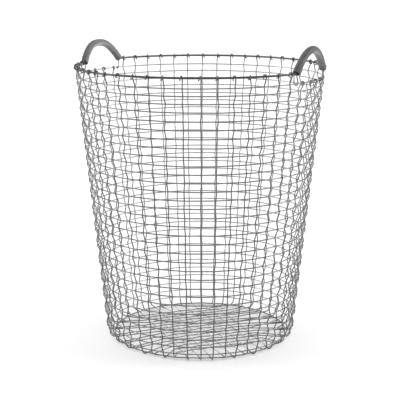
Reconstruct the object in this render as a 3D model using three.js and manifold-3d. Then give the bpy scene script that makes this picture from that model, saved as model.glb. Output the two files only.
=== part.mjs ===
// Woven wire basket: level weft hoops, crimped warp wires that cross under the base, a rim rod
// bent up into two carrying arches, and a tube sleeve on each arch.
// Millimetres, +Z up. The origin is the middle of the floor that the basket stands on.
import * as THREE from "three";
import { mergeVertices } from "three/addons/utils/BufferGeometryUtils.js";
import Module from "manifold-3d";

// Basket body
const rimRadius = 240;
const rimHeight = 540;
const wallFootRadius = 185.2;
const cornerRadius = 13.5;

// Wire and rod
const wireDiameter = 2.2;
const rimRodDiameter = 4;
const crossingGap = 0.3;
const joinBite = 0.3;

// Weave
const warpEndCount = 50;
const weftRows = 32;
const firstRowDrop = 17.9;
const rowSpreadPower = 1.03;
const baseGridLift = 0.4;
const footRun = 6;

// Base grid: wires along its first direction and across it, and the first direction's turn from
// the arches, counted in warp ends
const lengthwiseWireCount = 16;
const crosswiseWireCount = 9;
const lengthwiseSpacing = 15.7;
const crosswiseSpacing = 20.5;
const gridMargin = 12;
const gridTurnEndCount = 7;

// Carrying arches, the warp ends that each leaves without a place on the rim, and the sleeves
const archHalfSpan = 60.8;
const archRise = 38;
const archLeanDegrees = 9.4;
const archPower = 2.2;
const archSteps = 12;
const sleeveDiameter = 13.8;
const sleeveBore = 10;
const sleeveGap = 0.3;
const rodMouthRun = 2.5;
const rodBendRun = 9;
const archEndCount = 4;
const tieLandingRun = 55;

// Facets: corners of each section, and the turn from one ring to the next round a hook
const wireSides = 3;
const rodSides = 6;
const sleeveSides = 8;
const hookStep = Math.PI / 3;
const hookRings = 5;

// Steel finishes
const galvanised = new THREE.MeshStandardMaterial({ color: 0x85888a, roughness: 0.42, metalness: 0.9 });
const sleeveGrey = new THREE.MeshStandardMaterial({ color: 0x7a7c7e, roughness: 0.6, metalness: 0.4 });

// Sizes that follow from the values above
const wireRadius = wireDiameter / 2;
const wireCornerRadius = wireRadius / Math.cos(Math.PI / (2 * wireSides));
const wireFlatRadius = wireCornerRadius * Math.cos(Math.PI / wireSides);
const rodRadius = rimRodDiameter / 2;
const endStep = (2 * Math.PI) / warpEndCount;
const hoopSides = warpEndCount / 2;
const up = new THREE.Vector3(0, 0, 1);

// How far a crimped wire's middle stands off the wire that it crosses. The lean of the crimp
// between two crossings takes back a little of the gap.
function crossingOffset(pitch) {
  const leanShare = wireDiameter / (Math.sqrt(wireSides) * pitch);
  return (wireDiameter + crossingGap) / (1 - leanShare);
}

// The wall seen in section: a straight slope from the rim, then a rounded corner that runs out
// level where the base ring lies. Each place has a radius, a height and the outward normal.
const footOffset = wireCornerRadius + wireRadius + crossingGap;
const baseRingHeight = wireFlatRadius + footOffset;
const wallSlope = Math.atan2(rimRadius - wallFootRadius, rimHeight - baseRingHeight);
const cornerTurn = Math.PI / 2 - wallSlope;
const cornerReach = cornerRadius * Math.tan(cornerTurn / 2);
const baseRingRadius = wallFootRadius - cornerReach;
const cornerTop = baseRingHeight + cornerReach * Math.cos(wallSlope);

function wallAt(height) {
  return {
    radius: rimRadius - (rimHeight - height) * Math.tan(wallSlope),
    height,
    normalAngle: -wallSlope,
  };
}

function cornerAt(share) {
  const normalAngle = -wallSlope - share * cornerTurn;
  return {
    radius: baseRingRadius + cornerRadius * Math.cos(normalAngle),
    height: baseRingHeight + cornerRadius * (1 + Math.sin(normalAngle)),
    normalAngle,
  };
}

// Row 1 lies under the rim, the last row where the corner starts, and the base ring at its end.
// The rows lie closest near the rim, where the weaver beats them up against it.
const firstRowHeight = rimHeight - firstRowDrop;

function rowHeight(row) {
  const share = (row - 1) / (weftRows - 1);
  return firstRowHeight - (firstRowHeight - cornerTop) * share ** rowSpreadPower;
}

function rowPlace(row) {
  return row > weftRows ? cornerAt(1) : wallAt(rowHeight(row));
}

const closestPitch = rowHeight(1) - rowHeight(2);
const hoopCornerDrop = wireCornerRadius * Math.tan(Math.PI / hoopSides);
const wallOffset = crossingOffset(closestPitch) + hoopCornerDrop;
const joinedOffset = wallOffset - crossingGap - joinBite;

// From the last row the wire leans in along the first half of the corner, so it stands off further.
const cornerLeg = 2 * cornerRadius * Math.sin(cornerTurn / 4);
const legDrop = cornerLeg * Math.cos(cornerTurn / 4);
const legReach = cornerLeg * Math.sin(cornerTurn / 4) + wallOffset;
const cornerRowOffset = wallOffset / Math.cos(Math.atan2(legReach, legDrop));

// A hoop is a polygon with its corners over every second warp end.
const hoopCornerStretch = 2 / (1 + Math.cos(Math.PI / hoopSides));

function hoopStretch(end) {
  return end % 2 === 0 ? hoopCornerStretch : hoopCornerStretch * Math.cos(Math.PI / hoopSides);
}

function endAngle(end) {
  return (end + 1 / 2) * endStep;
}

function atAngle(angle, radius, height) {
  return new THREE.Vector3(radius * Math.cos(angle), radius * Math.sin(angle), height);
}

// Corner points of a regular section, in the plane of two unit vectors.
function sectionRing(middle, side, across, radius, sides, turn = 0) {
  return Array.from({ length: sides }, (_, i) => {
    const angle = turn + (2 * Math.PI * i) / sides;
    return middle
      .clone()
      .addScaledVector(side, radius * Math.cos(angle))
      .addScaledVector(across, radius * Math.sin(angle));
  });
}

// Closed skin over a row of rings that all have the same number of points. A closed row comes
// back to its first ring, and an open one has a flat cap at each end.
function skin(rings, closed) {
  const sides = rings[0].length;
  const index = [];
  const spans = closed ? rings.length : rings.length - 1;
  for (let i = 0; i < spans; i++) {
    const from = i * sides;
    const to = ((i + 1) % rings.length) * sides;
    for (let j = 0; j < sides; j++) {
      const k = (j + 1) % sides;
      index.push(from + j, from + k, to + j);
      index.push(from + k, to + k, to + j);
    }
  }
  if (!closed) {
    const last = (rings.length - 1) * sides;
    for (let j = 1; j < sides - 1; j++) {
      index.push(0, j + 1, j);
      index.push(last, last + j, last + j + 1);
    }
  }
  const points = rings.flat().flatMap((p) => [p.x, p.y, p.z]);
  const geometry = new THREE.BufferGeometry();
  geometry.setAttribute("position", new THREE.Float32BufferAttribute(points, 3));
  geometry.setIndex(index);
  return geometry;
}

// Round bar or wire along a path. A step is { at, side, turn }: the point, the direction that one
// corner of the section points in, and how far the section is turned from that. Bends are mitred:
// each ring is stretched in the plane of its bend, so the bar keeps its thickness.
function sweep(path, radius, sides, closed = false) {
  const count = path.length;
  const rings = path.map((step, i) => {
    const before = path[closed ? (i + count - 1) % count : Math.max(i - 1, 0)].at;
    const after = path[closed ? (i + 1) % count : Math.min(i + 1, count - 1)].at;
    const arriving = step.at.clone().sub(before).normalize();
    const leaving = after.clone().sub(step.at).normalize();
    const along = arriving.clone().add(leaving).normalize();
    const across = along.clone().cross(step.side).normalize();
    const side = across.clone().cross(along).normalize();
    const ring = sectionRing(step.at, side, across, radius, sides, step.turn ?? 0);
    const bend = leaving.clone().sub(arriving);
    if (closed || (i > 0 && i < count - 1)) {
      const stretch = 1 / Math.cos(arriving.angleTo(leaving) / 2) - 1;
      bend.normalize();
      for (const point of ring) {
        point.addScaledVector(bend, stretch * point.clone().sub(step.at).dot(bend));
      }
    }
    return ring;
  });
  return skin(rings, closed);
}

// Weft: one level hoop in each row, and the ring that the corner ends on.
function hoopGeometry(row) {
  const place = rowPlace(row);
  const rings = [];
  for (let i = 0; i < hoopSides; i++) {
    const angle = endAngle(2 * i);
    const outward = atAngle(angle, Math.cos(place.normalAngle), Math.sin(place.normalAngle));
    const upward = atAngle(angle, -Math.sin(place.normalAngle), Math.cos(place.normalAngle));
    const middle = atAngle(angle, place.radius * hoopCornerStretch, place.height);
    rings.push(sectionRing(middle, upward, outward, wireCornerRadius, wireSides));
  }
  return skin(rings, true);
}

// Warp: where one end of a warp wire runs on the wall, from its hook down to the base.
// It changes side at each row, and neighbouring ends are on opposite sides.
function standsOutside(end, row) {
  return (end + row) % 2 === 1;
}

function underArch(end) {
  const fromArch = Math.min(end, warpEndCount - 1 - end, Math.abs(end - (warpEndCount - 1) / 2) - 1 / 2);
  return fromArch < archEndCount / 2;
}

function hookPath(end, row, side) {
  const onRim = row === 0;
  const barRadius = onRim ? rodRadius : wireCornerRadius;
  const reach = (barRadius + wireRadius + crossingGap) / Math.cos(hookStep / 2);
  const place = onRim ? wallAt(rimHeight) : rowPlace(row);
  const barPlace = onRim ? rimRadius : place.radius * hoopStretch(end);
  const outside = standsOutside(end, row);
  const path = [];
  for (let i = hookRings - 1; i >= 0; i--) {
    const angle = outside ? i * hookStep : Math.PI - i * hookStep;
    const radius = barPlace + reach * Math.cos(angle);
    path.push({ at: atAngle(endAngle(end), radius, place.height + reach * Math.sin(angle)), side });
  }
  return path;
}

function wallPath(end, lastRowOffset) {
  const angle = endAngle(end);
  const side = atAngle(angle + Math.PI / 2, -1, 0);
  const hookedRow = underArch(end) ? 1 : 0;
  const path = hookPath(end, hookedRow, side);
  for (let row = hookedRow + 1; row <= weftRows; row++) {
    const place = rowPlace(row);
    const offset = (standsOutside(end, row) ? 1 : -1) * (row < weftRows ? wallOffset : lastRowOffset);
    const radius = place.radius * hoopStretch(end) + offset * Math.cos(place.normalAngle);
    path.push({ at: atAngle(angle, radius, place.height + offset * Math.sin(place.normalAngle)), side });
  }
  const bend = cornerAt(1 / 2);
  path.push({ at: atAngle(angle, bend.radius * hoopStretch(end), bend.height), side });
  const ringRadius = baseRingRadius * hoopStretch(end);
  if (standsOutside(end, weftRows + 1)) {
    const flatDown = -Math.PI / 2 / wireSides;
    path.push({ at: atAngle(angle, ringRadius + footRun / 2, wireFlatRadius), side, turn: flatDown });
    path.push({ at: atAngle(angle, ringRadius - footRun / 2, wireFlatRadius), side, turn: flatDown });
  } else {
    path.push({ at: atAngle(angle, ringRadius, baseRingHeight + footOffset), side });
  }
  return path;
}

// Base grid: the two sets of wires cross square to each other, and the second set is crimped.
const gridOffset = crossingOffset(lengthwiseSpacing);
const gridHeight = wireRadius + gridOffset + baseGridLift;
const lengthwiseAngle = gridTurnEndCount * endStep;

function gridPoint(along, across, height) {
  const radius = Math.hypot(along, across);
  return atAngle(lengthwiseAngle + Math.atan2(across, along), radius, height);
}

function lengthwisePlace(wire) {
  return (wire - (lengthwiseWireCount - 1) / 2) * lengthwiseSpacing;
}

function crosswisePlace(wire) {
  return (wire - (crosswiseWireCount - 1) / 2) * crosswiseSpacing;
}

const gridHalfLength = crosswisePlace(crosswiseWireCount - 1) + gridMargin;
const gridHalfWidth = lengthwisePlace(lengthwiseWireCount - 1) + gridMargin;

function lengthwiseRun(wire) {
  const side = atAngle(lengthwiseAngle + Math.PI / 2, -1, 0);
  return [1, -1].map((sign) => ({
    at: gridPoint(sign * gridHalfLength, lengthwisePlace(wire), gridHeight),
    side,
  }));
}

function crosswiseRun(wire) {
  const side = atAngle(lengthwiseAngle, 1, 0);
  const along = crosswisePlace(wire);
  const path = [{ at: gridPoint(along, gridHalfWidth, gridHeight), side }];
  for (let other = lengthwiseWireCount - 1; other >= 0; other--) {
    const offset = (wire + other) % 2 === 0 ? gridOffset : -gridOffset;
    path.push({ at: gridPoint(along, lengthwisePlace(other), gridHeight + offset), side });
  }
  path.push({ at: gridPoint(along, -gridHalfWidth, gridHeight), side });
  return path;
}

// A whole warp wire: down one wall, across the base and up the wall opposite.
function warpGeometry({ firstEnd, lastEnd, run }, lastRowOffset = cornerRowOffset) {
  const downTheWall = wallPath(firstEnd, lastRowOffset);
  const upTheWall = wallPath(lastEnd, lastRowOffset)
    .reverse()
    .map((step) => ({ ...step, side: step.side.clone().negate() }));
  return sweep([...downTheWall, ...run, ...upTheWall], wireCornerRadius, wireSides);
}

function wrapEnd(end) {
  return (end + warpEndCount) % warpEndCount;
}

function warpWires() {
  const wires = [];
  const halfLengthwise = lengthwiseWireCount / 2;
  for (let i = 0; i < lengthwiseWireCount; i++) {
    const firstEnd = wrapEnd(gridTurnEndCount - halfLengthwise + i);
    const lastEnd = wrapEnd(gridTurnEndCount + warpEndCount / 2 + halfLengthwise - 1 - i);
    wires.push({ firstEnd, lastEnd, run: lengthwiseRun(i) });
  }
  for (let i = 0; i < crosswiseWireCount; i++) {
    const firstEnd = wrapEnd(gridTurnEndCount + halfLengthwise + crosswiseWireCount - 1 - i);
    const lastEnd = wrapEnd(gridTurnEndCount - halfLengthwise - crosswiseWireCount + i);
    wires.push({ firstEnd, lastEnd, run: crosswiseRun(i) });
  }
  return wires;
}

// Carrying arch: a bow over the gap in the rim, leaning out. A place on it is given by the share
// of the half span, from -1 to 1, and by how far it stands off the bow's middle line.
const archLean = THREE.MathUtils.degToRad(archLeanDegrees);
const chordRadius = Math.sqrt(rimRadius ** 2 - archHalfSpan ** 2);
const bowUp = new THREE.Vector3(Math.sin(archLean), 0, Math.cos(archLean));
const bowAlong = new THREE.Vector3(0, 1, 0);
const bowSquare = bowAlong.clone().cross(bowUp);
const rodSeat = sleeveBore / 2 - rodRadius - sleeveGap;
const tieSeat = sleeveBore / 2 - wireCornerRadius - sleeveGap;

function bowPoint(along, rise) {
  return new THREE.Vector3(chordRadius, 0, rimHeight)
    .addScaledVector(bowAlong, along)
    .addScaledVector(bowUp, rise);
}

function bowNormal(share) {
  const drop = archRise * archPower * Math.abs(share) ** (archPower - 1);
  const slope = (-Math.sign(share) * drop) / archHalfSpan;
  return { along: -slope / Math.hypot(slope, 1), rise: 1 / Math.hypot(slope, 1) };
}

function bowPlace(share, offset, beyond = 0) {
  const normal = bowNormal(share);
  const rise = archRise * (1 - Math.abs(share) ** archPower);
  const outward = Math.sign(share) * beyond;
  return bowPoint(
    share * archHalfSpan + normal.along * offset + outward * normal.rise,
    rise + normal.rise * offset - Math.abs(outward * normal.along),
  );
}

function bowShares() {
  return Array.from({ length: archSteps + 1 }, (_, i) => (2 * i) / archSteps - 1);
}

function turned(step, angle) {
  const at = step.at.clone().applyAxisAngle(up, angle);
  const side = step.side.clone().applyAxisAngle(up, angle);
  return { ...step, at, side };
}

// The rim rod: round the rim from hook to hook, and over both arches inside their sleeves.
function archRodPath() {
  const bendAlong = archHalfSpan + rodBendRun;
  const bendAngle = Math.asin(bendAlong / rimRadius);
  const path = [{ at: atAngle(-bendAngle, rimRadius, rimHeight), side: bowSquare }];
  path.push({ at: bowPlace(-1, rodSeat, rodMouthRun), side: bowSquare });
  for (const share of bowShares()) path.push({ at: bowPlace(share, rodSeat), side: bowSquare });
  path.push({ at: bowPlace(1, rodSeat, rodMouthRun), side: bowSquare });
  path.push({ at: atAngle(bendAngle, rimRadius, rimHeight), side: bowSquare });
  return path;
}

function rimRodGeometry() {
  const path = [];
  for (const half of [0, 1]) {
    const turn = half * Math.PI;
    for (const step of archRodPath()) path.push(turned(step, turn));
    for (let end = archEndCount / 2; end < (warpEndCount - archEndCount) / 2; end++) {
      const angle = endAngle(end) + turn;
      path.push({ at: atAngle(angle, rimRadius, rimHeight), side: atAngle(angle, 1, 0) });
    }
  }
  return sweep(path, rodRadius, rodSides, true);
}

// Sleeve: an open-ended tube bent along the arch, cut square at both ends.
function sleeveGeometry() {
  const bowRings = (radius) =>
    bowShares().map((share) => {
      const normal = bowNormal(share);
      const across = new THREE.Vector3()
        .addScaledVector(bowAlong, normal.along)
        .addScaledVector(bowUp, normal.rise);
      const middle = bowPlace(share, 0);
      return sectionRing(middle, across, bowSquare, radius, sleeveSides, Math.PI / sleeveSides);
    });
  const cornerShare = 1 / Math.cos(Math.PI / sleeveSides);
  const outer = bowRings((sleeveDiameter / 2) * cornerShare);
  const inner = bowRings((sleeveBore / 2) * cornerShare);
  return skin([...outer, ...inner.reverse()], true);
}

// Tie: a wire that runs through the sleeve under the rod and is hooked on the first row at
// both ends.
function tiePath() {
  const row = rowPlace(1);
  const landing = Math.asin(tieLandingRun / row.radius);
  const hookReach = wireRadius;
  const leg = (sign) => {
    const angle = sign * landing;
    const side = bowSquare;
    return [
      { at: atAngle(angle, row.radius - hookReach, row.height - wireRadius), side },
      { at: atAngle(angle, row.radius + hookReach, row.height - wireDiameter), side },
      { at: atAngle(angle, row.radius + wireDiameter, row.height + wireDiameter), side },
      { at: bowPlace(sign, -tieSeat, rodMouthRun), side },
    ];
  };
  const bow = bowShares().map((share) => ({ at: bowPlace(share, -tieSeat), side: bowSquare }));
  return [...leg(-1), ...bow, ...leg(1).reverse()];
}

const wasm = await Module();
wasm.setup();

function solidOf(geometry) {
  const plain = geometry.clone();
  plain.deleteAttribute("normal");
  plain.deleteAttribute("uv");
  const merged = mergeVertices(plain);
  return new wasm.Manifold(
    new wasm.Mesh({
      numProp: 3,
      vertProperties: merged.attributes.position.array,
      triVerts: new Uint32Array(merged.index.array),
    }),
  );
}

function geometryOf(solid) {
  const mesh = solid.getMesh();
  const points = new Float32Array(mesh.vertProperties);
  const geometry = new THREE.BufferGeometry();
  geometry.setAttribute("position", new THREE.BufferAttribute(points, mesh.numProp));
  geometry.setIndex(new THREE.BufferAttribute(new Uint32Array(mesh.triVerts), 1));
  return geometry;
}

function joined(...geometries) {
  return geometryOf(geometries.map(solidOf).reduce((all, one) => all.add(one)));
}

// The first row carries both ties, as one piece.
function tiedFirstRow() {
  const ties = [0, Math.PI].map((angle) => {
    const path = tiePath().map((step) => turned(step, angle));
    return sweep(path, wireCornerRadius, wireSides);
  });
  return joined(hoopGeometry(1), ...ties);
}

// The last row is one piece with the warp wire that bites into it.
function keptLastRow(wire) {
  return joined(warpGeometry(wire, joinedOffset), hoopGeometry(weftRows));
}

// Assembly
const basket = new THREE.Group();
basket.name = "basket";

function addPiece(name, geometry, material) {
  geometry.computeVertexNormals();
  const mesh = new THREE.Mesh(geometry, material);
  mesh.name = name;
  basket.add(mesh);
  return mesh;
}

function numbered(name, number) {
  return `${name}_${String(number).padStart(2, "0")}`;
}

addPiece("rim_rod", rimRodGeometry(), galvanised);
addPiece("handle_sleeve_right", sleeveGeometry(), sleeveGrey);
addPiece("handle_sleeve_left", sleeveGeometry(), sleeveGrey).rotation.z = Math.PI;
addPiece("weft_hoop_01_with_handle_ties", tiedFirstRow(), galvanised);
for (let row = 2; row < weftRows; row++) {
  addPiece(numbered("weft_hoop", row), hoopGeometry(row), galvanised);
}
addPiece("base_ring", hoopGeometry(weftRows + 1), galvanised);
const wires = warpWires();
const keeper = wires.pop();
wires.forEach((wire, i) => addPiece(numbered("warp_wire", i + 1), warpGeometry(wire), galvanised));
addPiece("warp_wire_25_with_weft_hoop_32", keptLastRow(keeper), galvanised);

export default basket;
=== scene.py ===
import math
from collections import namedtuple

import bpy
import numpy as np
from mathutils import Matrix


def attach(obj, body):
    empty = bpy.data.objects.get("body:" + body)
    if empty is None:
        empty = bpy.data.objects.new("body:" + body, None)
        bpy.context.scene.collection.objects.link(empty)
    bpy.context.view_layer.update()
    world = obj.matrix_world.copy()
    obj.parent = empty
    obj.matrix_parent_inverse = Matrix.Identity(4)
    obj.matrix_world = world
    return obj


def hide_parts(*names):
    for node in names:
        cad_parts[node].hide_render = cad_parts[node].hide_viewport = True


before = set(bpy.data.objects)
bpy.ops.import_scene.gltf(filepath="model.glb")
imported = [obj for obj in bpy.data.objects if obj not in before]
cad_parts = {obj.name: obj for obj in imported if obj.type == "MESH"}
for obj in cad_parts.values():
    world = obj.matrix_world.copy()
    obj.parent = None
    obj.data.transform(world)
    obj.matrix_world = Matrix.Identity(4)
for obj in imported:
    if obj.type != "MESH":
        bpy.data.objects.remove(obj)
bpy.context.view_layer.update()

# Nothing on the basket moves, so every piece rides on one body.
BODY = "root"

# Basket body
RIM_RADIUS = 0.240
RIM_HEIGHT = 0.540
WALL_FOOT_RADIUS = 0.1852
CORNER_RADIUS = 0.0135
BASE_RING_HEIGHT = 0.0033

# Wire and rod
WIRE_RADIUS = 0.0012
ROD_RADIUS = 0.0020

# Weave
END_COUNT = 50
ROW_COUNT = 32
FIRST_ROW_DROP = 0.0179
ROW_SPREAD_POWER = 1.03
WARP_REACH = 0.00275
HOOP_RIPPLE = 0.00050
TOUCH = 2 * WIRE_RADIUS + 0.00005
WARP_BEND_RUN = 0.0026
HOOP_BEND_RUN = 0.0060
FOOT_RUN = 0.006

# Base grid
LENGTHWISE_COUNT = 16
CROSSWISE_COUNT = 9
LENGTHWISE_SPACING = 0.0157
CROSSWISE_SPACING = 0.0205
GRID_MARGIN = 0.012
GRID_TURN_ENDS = 7
GRID_HEIGHT = 0.0042
BASE_DOME = 0.0022
CROSSWISE_REACH = 0.0016
LENGTHWISE_REACH = 0.0009

# Arches, sleeves and ties
ARCH_ENDS = 4
SLEEVE_RADIUS = 0.0071
SLEEVE_BORE_RADIUS = 0.0054
SLEEVE_LIP = 0.0006
BORE_PLAY = 0.0003
ROD_MOUTH_RUN = 0.0025
ROD_BEND_RUN = 0.009
ROD_CORNER_RUN = 0.004
TIE_LANDING_RUN = 0.055
TIE_MOUTH_RUN = 0.002
TIE_CORNER_RUN = 0.003

# Feet of the ties: how a foot goes round the first row, from its free end, as distances out from
# the row and above it. It is hooked from outside, hooked from inside, or looped and led back up.
FROM_OUTSIDE = (
    (-0.0030, 0.0010),
    (-0.0014, -0.0028),
    (0.0012, -0.0028),
    (0.0031, 0.0002),
    (0.0031, 0.0050),
)
FROM_INSIDE = tuple((-out, rise) for out, rise in FROM_OUTSIDE)
LOOPED = ((-0.0060, 0.0150), (-0.0058, -0.0010), (-0.0028, -0.0030), *FROM_OUTSIDE[2:])

# Painted light on the sleeves: each is painted brighter on its lower side, where the floor's light
# would fall, by these shares at these places from one mouth to the other. Round the section it
# starts at a sine and fades in over the next.
UNDERSIDE_LIGHT_PLACES = (-1, -0.15, 0.1, 0.5, 1)
RIGHT_UNDERSIDE_LIGHT = (0.0, 0.0, 0.9, 0.45, 0.05)
LEFT_UNDERSIDE_LIGHT = (0.0, 0.65, 1.0, 0.7, 0.5)
UNDERSIDE_LIGHT_START = 0.05
UNDERSIDE_LIGHT_FADE = 0.35

# The two arches, which are bent by hand and so differ a little
Bow = namedtuple("Bow", "turn half_span rise lean power shift lift worn feet")
RIGHT_BOW = Bow(
    turn=0,
    half_span=0.0595,
    rise=0.0387,
    lean=math.radians(6.0),
    power=2.06,
    shift=-0.0020,
    lift=0.0014,
    worn=RIGHT_UNDERSIDE_LIGHT,
    feet=(LOOPED, FROM_OUTSIDE),
)
LEFT_BOW = Bow(
    turn=math.pi,
    half_span=0.0621,
    rise=0.0372,
    lean=math.radians(12.8),
    power=2.38,
    shift=-0.0025,
    lift=-0.0006,
    worn=LEFT_UNDERSIDE_LIGHT,
    feet=(FROM_INSIDE, FROM_OUTSIDE),
)

# Hooks: how far each wire end is wound round its bar, and how far it moves sideways on the way
HOOK_TURN = math.radians(300)
HOOK_STEPS = 12
HOOK_SIDEWAYS = 0.0046
HOOK_PLAY = 0.0003
HOOK_OPENING = 0.0009

# Facets
WIRE_SIDES = 8
ROD_SIDES = 14
SLEEVE_SIDES = 32
BEND_STEPS = 4
BOW_STEPS = 48
HOOK_POINTS = (2 + HOOK_STEPS * BEND_STEPS) * WIRE_SIDES

# The most of a leg that one bend takes, and the chamfer of a cut end as a share of the radius
BEND_LIMIT = 0.45
CUT_CHAMFER = 0.25

# Hand weaving is never quite even. Round the basket the uprights drift off their even places in
# a few broad stretches. The rows rise and fall, on the side towards the camera and on the far
# side. The lists are thinned out and rounded from longer tables, and the one of the ends came from
# a program that fitted a camera to the photograph.
DRIFT_ENDS = [5, 7, 9, 12, 15, 17, 30, 31, 33, 35, 37, 39, 41, 43, 45, 48]
END_DRIFT_DEGREES = [0, -2.5, -2, -1, -1, 0, 0, 1, 0.5, -1.5, 0, -0.5, 1, 1, 0.5, 0]
DRIFT_ROWS = [1, 4, 10, 15, 20, 25, 30, 33]
NEAR_ROW_DRIFT = [-0.0010, 0.0020, 0.0010, 0.0025, 0, -0.0020, -0.0040, 0]
FAR_ROW_DRIFT = [0, 0.0010, -0.0005, -0.0010, -0.0010, -0.0015, -0.0030, 0]
SLIPPED_FEET = (41,)
# Two ends by the right handle lean over at the top, by these angles at the first row.
TOP_LEAN_DEGREES = {48: 2, 49: 2}
TOP_LEAN_ROWS = 3
WANDER = 0.00045
ROW_WANDER = 0.00035
SEED = 27

# Camera
CAMERA_AZIMUTH = math.radians(29.4)
CAMERA_DISTANCE = 2.1554
CAMERA_HEIGHT = 0.739
CAMERA_PITCH = 0.2135
CAMERA_LENS = 99.5
CAMERA_SENSOR = 36
CAMERA_SHIFT = -0.0005
CAMERA_SHIFT_UP = 0.001
CAMERA_REACH = 200

# Studio: the white of the floor's paper and the glow that it has besides, the level of the dome,
# and for each lamp its azimuth, height and width in degrees and its strength
FLOOR_HALF = 30
PAPER_WHITE = 0.95
FLOOR_GLOW = 0.18
DOME_LEVEL = 0.35
LAMP_DISTANCE = 1.5
LAMP_HEIGHT = 2
LAMPS = {
    "light_above": (120, 70, 90, 1.35),
    "light_left": (209, 12, 36, 1.75),
    "light_right": (29, 12, 36, 2.20),
}

# Zinc of the wires: the darkest and lightest grey outside and inside the basket, where the darker
# outside is painted shade and the lighter inside is painted light; the share of them that is left
# below the first height, growing to all of them at the second, which paints shade or light lower
# down; the greys in the base and on the feet, the dark feet being painted shade at the floor; the
# weight of the bright coat, and the roughness
Zinc = namedtuple("Zinc", "outside inside low_share heights base foot coat roughness")
LENGTHWISE_LOOK = Zinc(
    outside=(0.055, 0.115),
    inside=(0.23, 0.43),
    low_share=0.75,
    heights=(0.10, 0.45),
    base=(0.14, 0.26),
    foot=0.04,
    coat=1.0,
    roughness=(0.20, 0.35),
)
CROSSWISE_LOOK = LENGTHWISE_LOOK._replace(base=(0.42, 0.65))
# Painted light: the hoops are a lighter copy of the same zinc, for the light that their tops
# catch, and are painted lighter still near the floor, for the light that it throws up.
HOOP_LIT_LOOK = LENGTHWISE_LOOK._replace(
    outside=(0.075, 0.145), inside=(0.23, 0.44), low_share=1.4, heights=(0.06, 0.14), foot=0.06
)
ROD_LOOK = Zinc(
    outside=(0.018, 0.035),
    inside=(0.05, 0.10),
    low_share=1,
    heights=(0.10, 0.45),
    base=(0.05, 0.10),
    foot=0.05,
    coat=0.2,
    roughness=(0.30, 0.50),
)
# Painted shade in the wound ends, where they wrap round their bar
WOUND_SHADE_TONE = 0.025
WIRE_METALLIC = 0.3
COAT_IOR = 1.5
COAT_ROUGHNESS = 0.12

# Where these looks fade into each other: the facing from outside to inside, the height from the
# wall to the base, and the radius from the base to the feet
INWARD_FADE = (0.25, -0.75)
LOW_FADE = (0.014, 0.008)
FOOT_FADE = (0.155, 0.168)

# Zinc of the sleeves: the darker outside and lighter inside greys are painted shade and painted
# light, and the grey of the lower side is painted light
SLEEVE_OUTSIDE = (0.06, 0.10, 0.15)
SLEEVE_INSIDE = (0.11, 0.155, 0.21)
UNDERSIDE_LIGHT_TONE = 0.42
SLEEVE_ROUGHNESS = (0.50, 0.70)
SLEEVE_METALLIC = 0.15
SLEEVE_SPECULAR = 0.25

# Grain: the scales of the noises, the places of the tones on them, and each bump's strength and
# depth
CLOUD_SCALE = 55
CLOUD_PLACES = (0.30, 0.72)
PATCH_SCALE = 140
GRAIN_SCALE = 1400
GRAIN_BUMP = (0.25, 0.0002)
STREAK_SCALE = 420
STREAK_STRETCH = 0.12
STREAK_PLACES = (0.30, 0.50, 0.70)
STREAK_BUMP = (0.3, 0.0003)
SCUFF_SCALE = 260

FULL_TURN = 2 * math.pi
END_STEP = FULL_TURN / END_COUNT
UP = np.array([0.0, 0.0, 1.0])
chance = np.random.default_rng(SEED)


# Wall in section
WALL_SLOPE = math.atan2(RIM_RADIUS - WALL_FOOT_RADIUS, RIM_HEIGHT - BASE_RING_HEIGHT)
CORNER_TURN = math.pi / 2 - WALL_SLOPE
CORNER_REACH = CORNER_RADIUS * math.tan(CORNER_TURN / 2)
BASE_RING_RADIUS = WALL_FOOT_RADIUS - CORNER_REACH
CORNER_TOP = BASE_RING_HEIGHT + CORNER_REACH * math.cos(WALL_SLOPE)
FIRST_ROW_HEIGHT = RIM_HEIGHT - FIRST_ROW_DROP
LAST_ROW = ROW_COUNT + 1


def wall_at(height):
    """Radius, height and angle of the outward normal at a height on the straight wall."""
    return RIM_RADIUS - (RIM_HEIGHT - height) * math.tan(WALL_SLOPE), height, -WALL_SLOPE


def corner_at(share):
    """The same on the rounded corner, from its top to the base ring."""
    normal = -WALL_SLOPE - share * CORNER_TURN
    radius = BASE_RING_RADIUS + CORNER_RADIUS * math.cos(normal)
    return radius, BASE_RING_HEIGHT + CORNER_RADIUS * (1 + math.sin(normal)), normal


def even_row_height(row):
    share = (row - 1) / (ROW_COUNT - 1)
    return FIRST_ROW_HEIGHT - (FIRST_ROW_HEIGHT - CORNER_TOP) * share ** ROW_SPREAD_POWER


def end_angle(end):
    drift = np.interp(end % END_COUNT, DRIFT_ENDS, END_DRIFT_DEGREES)
    return (end + 0.5) * END_STEP + math.radians(drift)


def around(angle, radius, height):
    return np.array([radius * math.cos(angle), radius * math.sin(angle), height])


def stands_outside(end, row):
    """The warp changes side at each row, and neighbouring ends are on opposite sides."""
    if row == LAST_ROW and end in SLIPPED_FEET:
        return True
    return (end + row) % 2 == 1


def nearness(angle):
    """1 on the side towards the camera and 0 on the far side."""
    return (1 + math.cos(angle + math.pi / 2 - CAMERA_AZIMUTH)) / 2


def smooth_noise(count, kernel, amount):
    """A closed row of random offsets, smoothed over a few neighbours."""
    rough = chance.normal(size=count)
    smooth = sum(np.roll(rough, shift) for shift in range(-kernel, kernel + 1))
    return amount * smooth / math.sqrt(2 * kernel + 1)


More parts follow.
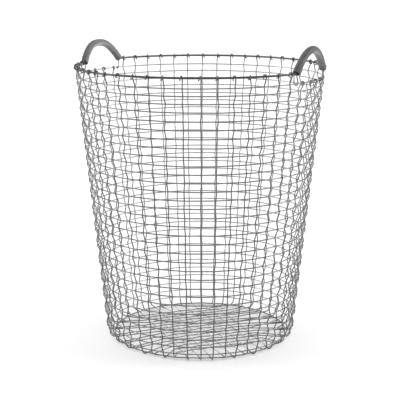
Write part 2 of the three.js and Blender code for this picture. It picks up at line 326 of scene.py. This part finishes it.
# Lattice of crossings: for each end and row, where the hoop's middle line lies and the outward
# normal there. The hoops and the warp both follow it.
def make_lattice():
    crossings = {}
    for row in range(1, LAST_ROW + 1):
        waves = smooth_noise(END_COUNT, 3, ROW_WANDER)
        sways = smooth_noise(END_COUNT, 0, WANDER)
        for end in range(END_COUNT):
            lean = TOP_LEAN_DEGREES.get(end, 0) * max(0, 1 - (row - 1) / TOP_LEAN_ROWS)
            angle = end_angle(end) + math.radians(lean)
            near = nearness(angle)
            drift = near * np.interp(row, DRIFT_ROWS, NEAR_ROW_DRIFT)
            drift += (1 - near) * np.interp(row, DRIFT_ROWS, FAR_ROW_DRIFT)
            if row < ROW_COUNT:
                radius, height, normal = wall_at(even_row_height(row) + drift + waves[end])
            elif row == ROW_COUNT:
                radius, height, normal = wall_at(even_row_height(row))
            else:
                radius, height, normal = corner_at(1)
            angle += sways[end] / radius if row < LAST_ROW else 0
            outward = around(angle, math.cos(normal), math.sin(normal))
            crossings[end, row] = (angle, around(angle, radius, height), outward)
    return crossings


CROSSINGS = make_lattice()


# Paths. A path is an array of rows: a point, then the direction that its section's first corner
# points in.
def step(point, side):
    return np.concatenate([point, side])


def rounded(path, bend_run, closed=False):
    """The path with each inner corner turned in a short bend."""
    path = np.asarray(path)
    count = len(path)
    inner = range(count) if closed else range(1, count - 1)
    shares = np.linspace(0, 1, BEND_STEPS)[:, None]
    bends = []
    for i in inner:
        before, corner, after = path[i - 1], path[i], path[(i + 1) % count]
        lead_in = np.linalg.norm(before[:3] - corner[:3])
        lead_out = np.linalg.norm(after[:3] - corner[:3])
        start = corner + (before - corner) * min(bend_run / lead_in, BEND_LIMIT)
        end = corner + (after - corner) * min(bend_run / lead_out, BEND_LIMIT)
        bend = (1 - shares) ** 2 * start + 2 * shares * (1 - shares) * corner + shares ** 2 * end
        bends.append(bend)
    if closed:
        return np.concatenate(bends)
    return np.concatenate([path[:1], *bends, path[-1:]])


def unit(vectors):
    return vectors / np.linalg.norm(vectors, axis=-1, keepdims=True)


def section_rings(path, radius, sides, closed):
    """Round sections square to the path, as an array of rings of points."""
    points = path[:, :3]
    if closed:
        along = np.roll(points, -1, axis=0) - np.roll(points, 1, axis=0)
    else:
        along = np.gradient(points, axis=0)
    along = unit(along)
    across = unit(np.cross(along, path[:, 3:]))
    side = np.cross(across, along)
    angles = FULL_TURN * np.arange(sides) / sides
    reach = side[:, None] * np.cos(angles)[:, None] + across[:, None] * np.sin(angles)[:, None]
    return points[:, None] + reach * np.broadcast_to(radius, (len(points),))[:, None, None]


def rounded_ends(path, radius):
    """Adds a small chamfer to both cut ends. Returns the longer path and its radii."""
    cut = radius * CUT_CHAMFER
    first, last = path[0].copy(), path[-1].copy()
    first[:3] += cut * unit(path[0, :3] - path[1, :3])
    last[:3] += cut * unit(path[-1, :3] - path[-2, :3])
    radii = np.full(len(path) + 2, radius)
    radii[[0, -1]] = radius - cut
    return np.concatenate([first[None], path, last[None]]), radii


def skin(rings, closed):
    """Points and faces of a closed skin over a row of rings."""
    count, sides = rings.shape[:2]
    points = rings.reshape(-1, 3)
    spans = count if closed else count - 1
    i, j = np.meshgrid(np.arange(spans), np.arange(sides), indexing="ij")
    here, beside = i * sides + j, i * sides + (j + 1) % sides
    there = (i + 1) % count * sides
    quads = np.stack([here, beside, there + (j + 1) % sides, there + j], axis=-1).reshape(-1, 4)
    faces = quads.tolist()
    if not closed:
        faces.append(list(range(sides))[::-1])
        faces.append(list(range((count - 1) * sides, count * sides)))
    return points, faces


def bar(path, radius, sides, closed=False):
    """Points and faces of a round bar along a path, with chamfered ends."""
    radii = radius
    if not closed:
        path, radii = rounded_ends(path, radius)
    return skin(section_rings(path, radii, sides, closed), closed)


# Pieces
def add_piece(name, part, material, slot, *nodes):
    """One scene piece from a closed skin, riding on the basket in place of its nodes."""
    points, faces = part
    mesh = bpy.data.meshes.new(name)
    mesh.from_pydata(points.tolist(), [], faces)
    mesh.shade_smooth()
    mesh.materials.append(material)
    mesh.update()
    piece = bpy.data.objects.new(name, mesh)
    bpy.context.scene.collection.objects.link(piece)
    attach(piece, BODY)
    if nodes:
        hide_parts(*nodes)
    return piece


def mark_points(piece, name, values):
    """Gives each point of a piece a number or a vector that its material reads."""
    kind, field = ("FLOAT_VECTOR", "vector") if values.ndim == 2 else ("FLOAT", "value")
    attribute = piece.data.attributes.new(name, kind, "POINT")
    attribute.data.foreach_set(field, values.ravel())


# Materials
def new_material(name):
    material = bpy.data.materials.new(name)
    material.use_nodes = True
    nodes = material.node_tree.nodes
    nodes.clear()
    shader = nodes.new("ShaderNodeBsdfPrincipled")
    output = nodes.new("ShaderNodeOutputMaterial")
    material.node_tree.links.new(shader.outputs["BSDF"], output.inputs["Surface"])
    return material, shader


def add_noise(material, scale, detail, source=None):
    nodes, links = material.node_tree.nodes, material.node_tree.links
    noise = nodes.new("ShaderNodeTexNoise")
    noise.inputs["Scale"].default_value = scale
    noise.inputs["Detail"].default_value = detail
    if source is None:
        source = nodes.new("ShaderNodeTexCoord").outputs["Object"]
    links.new(source, noise.inputs["Vector"])
    return noise.outputs["Fac"]


def grey(value):
    """A zinc grey, very slightly cool."""
    return (value * 0.985, value, value * 1.02)


def add_ramp(material, value, places, tones):
    """Colour ramp with a grey at each place."""
    nodes, links = material.node_tree.nodes, material.node_tree.links
    ramp = nodes.new("ShaderNodeValToRGB")
    elements = ramp.color_ramp.elements
    while len(elements) < len(places):
        elements.new(0.5)
    for element, place, tone in zip(elements, places, tones):
        element.position = place
        element.color = (*grey(tone), 1)
    links.new(value, ramp.inputs["Fac"])
    return ramp.outputs["Color"]


def add_range(material, value, low, high, start=0.3, end=0.7):
    nodes, links = material.node_tree.nodes, material.node_tree.links
    spread = nodes.new("ShaderNodeMapRange")
    spread.inputs["From Min"].default_value = start
    spread.inputs["From Max"].default_value = end
    spread.inputs["To Min"].default_value = low
    spread.inputs["To Max"].default_value = high
    links.new(value, spread.inputs["Value"])
    return spread.outputs["Result"]


def add_bump(material, shader, height, strength, distance):
    nodes, links = material.node_tree.nodes, material.node_tree.links
    bump = nodes.new("ShaderNodeBump")
    bump.inputs["Strength"].default_value = strength
    bump.inputs["Distance"].default_value = distance
    links.new(height, bump.inputs["Height"])
    links.new(bump.outputs["Normal"], shader.inputs["Normal"])


def add_attribute(material, name):
    """Sockets of a value that the pieces carry at their points."""
    attribute = material.node_tree.nodes.new("ShaderNodeAttribute")
    attribute.attribute_name = name
    return attribute.outputs


def add_maths(owner, operation, first, second):
    nodes, links = owner.node_tree.nodes, owner.node_tree.links
    maths = nodes.new("ShaderNodeMath")
    maths.operation = operation
    links.new(first, maths.inputs[0])
    links.new(second, maths.inputs[1])
    return maths.outputs["Value"]


def add_vector_maths(material, operation, *values):
    """One operation on vectors, each a socket or a plain vector."""
    nodes, links = material.node_tree.nodes, material.node_tree.links
    maths = nodes.new("ShaderNodeVectorMath")
    maths.operation = operation
    for place, value in enumerate(values):
        if isinstance(value, tuple):
            maths.inputs[place].default_value = value
        else:
            links.new(value, maths.inputs[place])
    return maths.outputs["Value" if operation in ("DOT_PRODUCT", "LENGTH") else "Vector"]


def add_height(material):
    """Height over the floor."""
    nodes, links = material.node_tree.nodes, material.node_tree.links
    parts = nodes.new("ShaderNodeSeparateXYZ")
    links.new(nodes.new("ShaderNodeTexCoord").outputs["Object"], parts.inputs["Vector"])
    return parts.outputs["Z"]


def add_level(material):
    """Level vector from the basket's axis."""
    place = material.node_tree.nodes.new("ShaderNodeTexCoord")
    return add_vector_maths(material, "MULTIPLY", place.outputs["Object"], (1, 1, 0))


def add_inward_painted_light(material):
    """0 on faces that look away from the basket's axis, and 1 on faces that look towards it.
    It paints light onto the faces towards the axis and shade onto those away from it.
    """
    place = material.node_tree.nodes.new("ShaderNodeTexCoord")
    radial = add_vector_maths(material, "NORMALIZE", add_level(material))
    facing = add_vector_maths(material, "DOT_PRODUCT", radial, place.outputs["Normal"])
    return add_range(material, facing, 0, 1, *INWARD_FADE)


def add_low_shares(material):
    """1 on the wires of the base, and 0 on the wall and the feet. Then 1 on the feet alone, which
    are darkened with painted shade where they meet the floor.
    """
    low = add_range(material, add_height(material), 0, 1, *LOW_FADE)
    radius = add_vector_maths(material, "LENGTH", add_level(material))
    return [
        add_maths(material, "MULTIPLY", low, add_range(material, radius, 0, 1, *fade))
        for fade in (FOOT_FADE[::-1], FOOT_FADE)
    ]


def add_mix(material, share, first, second):
    """Colour between two colours, each a socket or a plain grey."""
    nodes, links = material.node_tree.nodes, material.node_tree.links
    mix = nodes.new("ShaderNodeMix")
    mix.data_type = "RGBA"
    links.new(share, mix.inputs["Factor"])
    for name, colour in (("A", first), ("B", second)):
        if isinstance(colour, tuple):
            mix.inputs[name].default_value = (*colour, 1)
        else:
            links.new(colour, mix.inputs[name])
    return mix.outputs["Result"]


def galvanised(name, zinc):
    """Drawn zinc-coated wire: cloudy patches, rougher and smoother stretches, a fine grain.
    Painted shade darkens the faces that look out of the basket, and painted light brightens those
    that look into it. The greys shift by height, as painted shade or light lower down. The base
    wires take their own greys, and painted shade darkens the feet where they meet the floor and
    the ends where they are wound."""
    material, shader = new_material(name)
    links = material.node_tree.links
    clouds = add_noise(material, CLOUD_SCALE, 4)

    # Painted shade on the faces that look out of the basket, painted light on those that look in.
    def painted_wall_tones(share):
        faces = [
            add_ramp(material, clouds, CLOUD_PLACES, (share * dark, share * light))
            for dark, light in (zinc.outside, zinc.inside)
        ]
        return add_mix(material, add_inward_painted_light(material), *faces)

    # Painted shade or light by height: lower down, the wall greys are scaled darker or lighter.
    rise = add_range(material, add_height(material), 0, 1, *zinc.heights)
    wall = add_mix(material, rise, painted_wall_tones(zinc.low_share), painted_wall_tones(1))
    base = add_ramp(material, clouds, CLOUD_PLACES, zinc.base)
    base_share, foot_shade_share = add_low_shares(material)
    woven = add_mix(material, base_share, wall, base)
    # Painted shade: the feet and the base ring are darkened where they meet the floor.
    woven = add_mix(material, foot_shade_share, woven, grey(zinc.foot))
    # Painted shade: the wound ends are darkened where they wrap round their bar.
    wound = add_attribute(material, "wound")["Fac"]
    colour = add_mix(material, wound, woven, grey(WOUND_SHADE_TONE))
    links.new(colour, shader.inputs["Base Color"])
    patches = add_noise(material, PATCH_SCALE, 3)
    links.new(add_range(material, patches, *zinc.roughness), shader.inputs["Roughness"])
    add_bump(material, shader, add_noise(material, GRAIN_SCALE, 3), *GRAIN_BUMP)
    shader.inputs["Metallic"].default_value = WIRE_METALLIC
    shader.inputs["Coat Weight"].default_value = zinc.coat
    shader.inputs["Coat IOR"].default_value = COAT_IOR
    shader.inputs["Coat Roughness"].default_value = COAT_ROUGHNESS
    return material


def make_sleeve_zinc():
    """Dull tube: soft streaks along its length and faint scuffs. Its lower side is brightened with
    painted light, and it has painted light towards the basket and painted shade away from it."""
    material, shader = new_material("sleeve_zinc")
    nodes, links = material.node_tree.nodes, material.node_tree.links
    mapping = nodes.new("ShaderNodeMapping")
    mapping.inputs["Scale"].default_value = (STREAK_STRETCH, 1, 1)
    links.new(add_attribute(material, "lay")["Vector"], mapping.inputs["Vector"])
    streaks = add_noise(material, STREAK_SCALE, 4, mapping.outputs["Vector"])
    outside = add_ramp(material, streaks, STREAK_PLACES, SLEEVE_OUTSIDE)
    inside = add_ramp(material, streaks, STREAK_PLACES, SLEEVE_INSIDE)
    # Painted shade away from the basket and painted light towards it.
    painted_sides = add_mix(material, add_inward_painted_light(material), outside, inside)
    # Painted light on the lower side, as if lit from the floor.
    worn = add_attribute(material, "worn")["Fac"]
    links.new(add_mix(material, worn, painted_sides, grey(UNDERSIDE_LIGHT_TONE)), shader.inputs["Base Color"])
    scuffs = add_noise(material, SCUFF_SCALE, 3)
    links.new(add_range(material, scuffs, *SLEEVE_ROUGHNESS), shader.inputs["Roughness"])
    add_bump(material, shader, streaks, *STREAK_BUMP)
    shader.inputs["Metallic"].default_value = SLEEVE_METALLIC
    shader.inputs["Specular IOR Level"].default_value = SLEEVE_SPECULAR
    return material


LENGTHWISE_ZINC = galvanised("lengthwise_zinc", LENGTHWISE_LOOK)
CROSSWISE_ZINC = galvanised("crosswise_zinc", CROSSWISE_LOOK)
HOOP_LIT_ZINC = galvanised("hoop_zinc_painted_lit", HOOP_LIT_LOOK)
ROD_ZINC = galvanised("rod_zinc", ROD_LOOK)
SLEEVE_ZINC = make_sleeve_zinc()


# Weft hoops and base ring
def hoop(row):
    path = []
    for end in range(END_COUNT):
        _, middle, outward = CROSSINGS[end, row]
        pushed = -HOOP_RIPPLE if stands_outside(end, row) else HOOP_RIPPLE
        path.append(step(middle + pushed * outward, UP))
    return bar(rounded(path, HOOP_BEND_RUN, closed=True), WIRE_RADIUS, WIRE_SIDES, closed=True)


# Warp wires
def under_arch(end):
    from_arch = min(end, END_COUNT - 1 - end, abs(end - (END_COUNT - 1) / 2) - 0.5)
    return from_arch < ARCH_ENDS / 2


def hook_path(end, row):
    """The wire's end, wound round the rim rod or the first row and moved sideways as it winds."""
    if row == 0:
        angle = end_angle(end)
        middle = around(angle, RIM_RADIUS, RIM_HEIGHT)
        bar_radius = ROD_RADIUS
    else:
        angle, middle, _ = CROSSINGS[end, row]
        bar_radius = WIRE_RADIUS
    reach = bar_radius + WIRE_RADIUS + HOOK_PLAY
    out = around(angle, 1, 0)
    along = around(angle - math.pi / 2, 1, 0)
    facing = 1 if stands_outside(end, row) else -1
    path = []
    for i in range(HOOK_STEPS, -1, -1):
        turn = HOOK_TURN * i / HOOK_STEPS
        sideways = HOOK_SIDEWAYS * i / HOOK_STEPS
        swing = reach + HOOK_OPENING * (i / HOOK_STEPS) ** 2
        round_bar = facing * math.cos(turn) * out + math.sin(turn) * UP
        path.append(step(middle + swing * round_bar + sideways * along, along))
    return path


def wall_path(end):
    """One end of a warp wire, from its hook down the wall and under or over the base ring."""
    hooked_row = 1 if under_arch(end) else 0
    path = hook_path(end, hooked_row)
    for row in range(hooked_row + 1, ROW_COUNT + 1):
        angle, middle, outward = CROSSINGS[end, row]
        reach = WARP_REACH if stands_outside(end, row) else -WARP_REACH
        path.append(step(middle + reach * outward, around(angle - math.pi / 2, 1, 0)))
    angle = end_angle(end)
    side = around(angle - math.pi / 2, 1, 0)
    bend_radius, bend_height, _ = corner_at(0.5)
    path.append(step(around(angle, bend_radius, bend_height), side))
    if stands_outside(end, LAST_ROW):
        path.append(step(around(angle, BASE_RING_RADIUS + FOOT_RUN / 2, WIRE_RADIUS), side))
        path.append(step(around(angle, BASE_RING_RADIUS - FOOT_RUN / 2, WIRE_RADIUS), side))
    else:
        path.append(step(around(angle, BASE_RING_RADIUS, BASE_RING_HEIGHT + TOUCH), side))
    return path


# Base grid and whole warp wires
GRID_ANGLE = GRID_TURN_ENDS * END_STEP


def grid_point(along, across, height):
    """A place in the base grid, which is slightly domed."""
    radius = math.hypot(along, across)
    dome = BASE_DOME * (1 - (radius / BASE_RING_RADIUS) ** 2)
    return around(GRID_ANGLE + math.atan2(across, along), radius, height + dome)


def lengthwise_place(wire):
    return (wire - (LENGTHWISE_COUNT - 1) / 2) * LENGTHWISE_SPACING


def crosswise_place(wire):
    return (wire - (CROSSWISE_COUNT - 1) / 2) * CROSSWISE_SPACING


GRID_HALF_LENGTH = crosswise_place(CROSSWISE_COUNT - 1) + GRID_MARGIN
GRID_HALF_WIDTH = lengthwise_place(LENGTHWISE_COUNT - 1) + GRID_MARGIN


def passes_over(crosswise, lengthwise):
    return (crosswise + lengthwise) % 2 == 0


def lengthwise_run(wire):
    side = around(GRID_ANGLE - math.pi / 2, 1, 0)
    across = lengthwise_place(wire)
    path = [step(grid_point(GRID_HALF_LENGTH, across, GRID_HEIGHT), side)]
    for other in range(CROSSWISE_COUNT - 1, -1, -1):
        lift = -LENGTHWISE_REACH if passes_over(other, wire) else LENGTHWISE_REACH
        path.append(step(grid_point(crosswise_place(other), across, GRID_HEIGHT + lift), side))
    path.append(step(grid_point(-GRID_HALF_LENGTH, across, GRID_HEIGHT), side))
    return path


def crosswise_run(wire):
    side = around(GRID_ANGLE, 1, 0)
    along = crosswise_place(wire)
    path = [step(grid_point(along, GRID_HALF_WIDTH, GRID_HEIGHT), side)]
    for other in range(LENGTHWISE_COUNT - 1, -1, -1):
        lift = CROSSWISE_REACH if passes_over(wire, other) else -CROSSWISE_REACH
        path.append(step(grid_point(along, lengthwise_place(other), GRID_HEIGHT + lift), side))
    path.append(step(grid_point(along, -GRID_HALF_WIDTH, GRID_HEIGHT), side))
    return path


def warp_wire(first_end, last_end, run):
    down = wall_path(first_end)
    climb = [np.concatenate([row[:3], -row[3:]]) for row in reversed(wall_path(last_end))]
    return bar(rounded([*down, *run, *climb], WARP_BEND_RUN), WIRE_RADIUS, WIRE_SIDES)


def warp_wires():
    wires = []
    half = LENGTHWISE_COUNT // 2
    for i in range(LENGTHWISE_COUNT):
        first = (GRID_TURN_ENDS - half + i) % END_COUNT
        last = (GRID_TURN_ENDS + END_COUNT // 2 + half - 1 - i) % END_COUNT
        wires.append(warp_wire(first, last, lengthwise_run(i)))
    for i in range(CROSSWISE_COUNT):
        first = (GRID_TURN_ENDS + half + CROSSWISE_COUNT - 1 - i) % END_COUNT
        last = (GRID_TURN_ENDS - half - CROSSWISE_COUNT + i) % END_COUNT
        wires.append(warp_wire(first, last, crosswise_run(i)))
    return wires


def mark_hooks(piece):
    """Marks both wound ends of a warp wire, which its material darkens with painted shade."""
    wound = np.zeros(len(piece.data.vertices))
    wound[:HOOK_POINTS] = 1
    wound[-HOOK_POINTS:] = 1
    mark_points(piece, "wound", wound)


# Arches. A place is given by the share of the half span, from -1 to 1, and by how far it stands
# off the bow's middle line and runs beyond the sleeve's mouth. The right arch is described, and
# the left one is turned from the same place.
BOW_ALONG = np.array([0.0, 1.0, 0.0])
ROD_SEAT = SLEEVE_BORE_RADIUS - ROD_RADIUS - BORE_PLAY
TIE_SEAT = SLEEVE_BORE_RADIUS - WIRE_RADIUS - BORE_PLAY
BOW_SHARES = np.linspace(-1, 1, BOW_STEPS + 1)


def bow_up(bow):
    return np.array([math.sin(bow.lean), 0, math.cos(bow.lean)])


def bow_square(bow):
    return np.cross(BOW_ALONG, bow_up(bow))


def bow_normal(bow, share):
    drop = bow.rise * bow.power * abs(share) ** (bow.power - 1)
    slope = -math.copysign(drop, share) / bow.half_span
    return -slope / math.hypot(slope, 1), 1 / math.hypot(slope, 1)


def bow_place(bow, share, offset, beyond=0):
    normal_along, normal_rise = bow_normal(bow, share)
    rise = bow.lift + bow.rise * (1 - abs(share) ** bow.power)
    outward = math.copysign(beyond, share)
    along = bow.shift + share * bow.half_span + normal_along * offset + outward * normal_rise
    height = rise + normal_rise * offset - abs(outward * normal_along)
    chord_radius = math.sqrt(RIM_RADIUS ** 2 - bow.half_span ** 2)
    return np.array([chord_radius, 0, RIM_HEIGHT]) + along * BOW_ALONG + height * bow_up(bow)


def turned(path, angle):
    """The path turned about the basket's axis."""
    turn = np.array([
        [math.cos(angle), -math.sin(angle), 0],
        [math.sin(angle), math.cos(angle), 0],
        [0, 0, 1],
    ])
    path = np.asarray(path)
    return np.concatenate([path[:, :3] @ turn.T, path[:, 3:] @ turn.T], axis=1)


def arch_rod_path(bow):
    square = bow_square(bow)

    def bend(sign):
        along = sign * (bow.half_span + ROD_BEND_RUN) + bow.shift
        return step(around(math.asin(along / RIM_RADIUS), RIM_RADIUS, RIM_HEIGHT), square)

    path = [bend(-1), step(bow_place(bow, -1, ROD_SEAT, ROD_MOUTH_RUN), square)]
    path += [step(bow_place(bow, share, ROD_SEAT), square) for share in BOW_SHARES]
    path += [step(bow_place(bow, 1, ROD_SEAT, ROD_MOUTH_RUN), square), bend(1)]
    return path


def rim_rod():
    path = []
    for bow in (RIGHT_BOW, LEFT_BOW):
        turn = bow.turn
        path.append(turned(arch_rod_path(bow), turn))
        ends = np.arange(ARCH_ENDS / 2, (END_COUNT - ARCH_ENDS) / 2, 0.5)
        angles = (ends + 0.5) * END_STEP + turn
        path.append([step(around(a, RIM_RADIUS, RIM_HEIGHT), around(a, 1, 0)) for a in angles])
    path = rounded(np.concatenate(path), ROD_CORNER_RUN, closed=True)
    return bar(path, ROD_RADIUS, ROD_SIDES, closed=True)


def sleeve(bow):
    """An open tube along the bow, its edges slightly rounded."""
    square = bow_square(bow)
    path = turned([step(bow_place(bow, share, 0), square) for share in BOW_SHARES], bow.turn)
    middle_radius = (SLEEVE_RADIUS + SLEEVE_BORE_RADIUS) / 2
    outer, inner, lip = (
        section_rings(path, radius, SLEEVE_SIDES, closed=False)
        for radius in (SLEEVE_RADIUS, SLEEVE_BORE_RADIUS, middle_radius)
    )
    first_out = SLEEVE_LIP * unit(path[0, :3] - path[1, :3])
    last_out = SLEEVE_LIP * unit(path[-1, :3] - path[-2, :3])
    rings = [*outer, lip[-1] + last_out, *inner[::-1], lip[0] + first_out]
    return skin(np.array(rings), closed=True)


def mark_sleeve(piece, tube, bow):
    """Marks how far along and round the sleeve each point lies, and how much painted light its
    lower side gets there.
    """
    middles = tube[0].reshape(-1, SLEEVE_SIDES, 3).mean(axis=1)
    run = np.concatenate([[0], np.cumsum(np.linalg.norm(np.diff(middles, axis=0), axis=1))])
    angles = FULL_TURN * np.arange(SLEEVE_SIDES) / SLEEVE_SIDES
    ring = SLEEVE_RADIUS * np.stack([np.cos(angles), np.sin(angles)], axis=1)
    mark_points(piece, "lay", np.array([[place, *corner] for place in run for corner in ring]))
    gap_side = np.clip((np.sin(angles) - UNDERSIDE_LIGHT_START) / UNDERSIDE_LIGHT_FADE, 0, 1)
    shares = np.concatenate([BOW_SHARES, BOW_SHARES[-1:], BOW_SHARES[::-1], BOW_SHARES[:1]])
    underside_light_run = np.interp(shares, UNDERSIDE_LIGHT_PLACES, bow.worn)
    mark_points(piece, "worn", np.outer(underside_light_run, gap_side).ravel())


def tie_path(bow):
    """A thin wire through the sleeve beside the rod, hooked on the first row at both ends."""
    radius, height, _ = wall_at(even_row_height(1))
    square = bow_square(bow)

    def leg(sign, foot):
        angle = math.asin((sign * TIE_LANDING_RUN + bow.shift) / radius)
        path = [step(around(angle, radius + out, height + rise), square) for out, rise in foot]
        path.append(step(bow_place(bow, sign, -TIE_SEAT, TIE_MOUTH_RUN), square))
        return path

    middle = [step(bow_place(bow, share, -TIE_SEAT), square) for share in BOW_SHARES]
    return [*leg(-1, bow.feet[0]), *middle, *leg(1, bow.feet[1])[::-1]]


def handle_tie(bow):
    path = rounded(turned(tie_path(bow), bow.turn), TIE_CORNER_RUN)
    return bar(path, WIRE_RADIUS, WIRE_SIDES)


# Assembly
add_piece("rim_rod_round", rim_rod(), ROD_ZINC, "wire", "rim_rod")
for side_name, bow in (("right", RIGHT_BOW), ("left", LEFT_BOW)):
    tube = sleeve(bow)
    node = f"handle_sleeve_{side_name}"
    mark_sleeve(add_piece(f"sleeve_{side_name}", tube, SLEEVE_ZINC, "sleeve", node), tube, bow)
    add_piece(f"handle_tie_{side_name}", handle_tie(bow), LENGTHWISE_ZINC, "wire")

add_piece("weft_hoop_01_round", hoop(1), HOOP_LIT_ZINC, "wire", "weft_hoop_01_with_handle_ties")
for row in range(2, ROW_COUNT):
    add_piece(f"weft_hoop_{row:02d}_round", hoop(row), HOOP_LIT_ZINC, "wire", f"weft_hoop_{row:02d}")
add_piece("weft_hoop_32_round", hoop(ROW_COUNT), HOOP_LIT_ZINC, "wire")
add_piece("base_ring_round", hoop(LAST_ROW), HOOP_LIT_ZINC, "wire", "base_ring")
for number, wire in enumerate(warp_wires(), start=1):
    node = f"warp_wire_{number:02d}"
    if number == LENGTHWISE_COUNT + CROSSWISE_COUNT:
        node += "_with_weft_hoop_32"
    zinc = LENGTHWISE_ZINC if number <= LENGTHWISE_COUNT else CROSSWISE_ZINC
    mark_hooks(add_piece(f"warp_wire_{number:02d}_round", wire, zinc, "wire", node))


# Floor, light and camera
def white_seen(owner):
    """1 for what the camera, a reflection or a transmission sees, 0 for the rest."""
    path = owner.node_tree.nodes.new("ShaderNodeLightPath")
    seen = path.outputs["Is Camera Ray"]
    for other in ("Is Glossy Ray", "Is Transmission Ray"):
        seen = add_maths(owner, "MAXIMUM", seen, path.outputs[other])
    return seen


def plain(level):
    return (level, level, level, 1)


def make_floor():
    mesh = bpy.data.meshes.new("floor")
    corners = [(-1, -1), (1, -1), (1, 1), (-1, 1)]
    points = [(FLOOR_HALF * x, FLOOR_HALF * y, 0) for x, y in corners]
    mesh.from_pydata(points, [], [(0, 1, 2, 3)])
    floor = bpy.data.objects.new("floor", mesh)
    bpy.context.scene.collection.objects.link(floor)
    material = bpy.data.materials.new("floor_white")
    material.use_nodes = True
    nodes, links = material.node_tree.nodes, material.node_tree.links
    nodes.clear()
    paper = nodes.new("ShaderNodeBsdfDiffuse")
    paper.inputs["Color"].default_value = plain(PAPER_WHITE)
    glow = nodes.new("ShaderNodeEmission")
    glow.inputs["Color"].default_value = plain(FLOOR_GLOW)
    links.new(white_seen(material), glow.inputs["Strength"])
    both = nodes.new("ShaderNodeAddShader")
    links.new(paper.outputs["BSDF"], both.inputs[0])
    links.new(glow.outputs["Emission"], both.inputs[1])
    output = nodes.new("ShaderNodeOutputMaterial")
    links.new(both.outputs["Shader"], output.inputs["Surface"])
    mesh.materials.append(material)


def make_world():
    world = bpy.data.worlds.new("studio")
    bpy.context.scene.world = world
    world.use_nodes = True
    nodes, links = world.node_tree.nodes, world.node_tree.links
    nodes.clear()
    white = nodes.new("ShaderNodeBackground")
    white.inputs["Color"].default_value = plain(1)
    white.inputs["Strength"].default_value = 1
    soft = nodes.new("ShaderNodeBackground")
    soft.inputs["Color"].default_value = plain(1)
    soft.inputs["Strength"].default_value = DOME_LEVEL
    mix = nodes.new("ShaderNodeMixShader")
    links.new(white_seen(world), mix.inputs["Fac"])
    links.new(soft.outputs["Background"], mix.inputs[1])
    links.new(white.outputs["Background"], mix.inputs[2])
    output = nodes.new("ShaderNodeOutputWorld")
    links.new(mix.outputs["Shader"], output.inputs["Surface"])


def add_sun(name, azimuth, elevation, spread, strength):
    """A broad, soft light from one side, level over the whole floor."""
    lamp = bpy.data.lights.new(name, "SUN")
    lamp.angle = math.radians(spread)
    lamp.energy = strength
    holder = bpy.data.objects.new(name, lamp)
    bpy.context.scene.collection.objects.link(holder)
    holder.location = around(math.radians(azimuth), LAMP_DISTANCE, LAMP_HEIGHT)
    holder.rotation_euler = (0, math.radians(90 - elevation), math.radians(azimuth))


def make_camera():
    camera = bpy.data.cameras.new("camera")
    camera.sensor_width = CAMERA_SENSOR
    camera.lens = CAMERA_LENS
    camera.shift_x = CAMERA_SHIFT
    camera.shift_y = CAMERA_SHIFT_UP
    camera.clip_end = CAMERA_REACH
    holder = bpy.data.objects.new("camera", camera)
    bpy.context.scene.collection.objects.link(holder)
    holder.location = (
        CAMERA_DISTANCE * math.sin(CAMERA_AZIMUTH),
        -CAMERA_DISTANCE * math.cos(CAMERA_AZIMUTH),
        CAMERA_HEIGHT,
    )
    holder.rotation_euler = (math.pi / 2 - CAMERA_PITCH, 0, CAMERA_AZIMUTH)
    bpy.context.scene.camera = holder


make_floor()
make_world()
for lamp_name, aim_and_strength in LAMPS.items():
    add_sun(lamp_name, *aim_and_strength)
make_camera()
bpy.context.scene.view_settings.view_transform = "Standard"
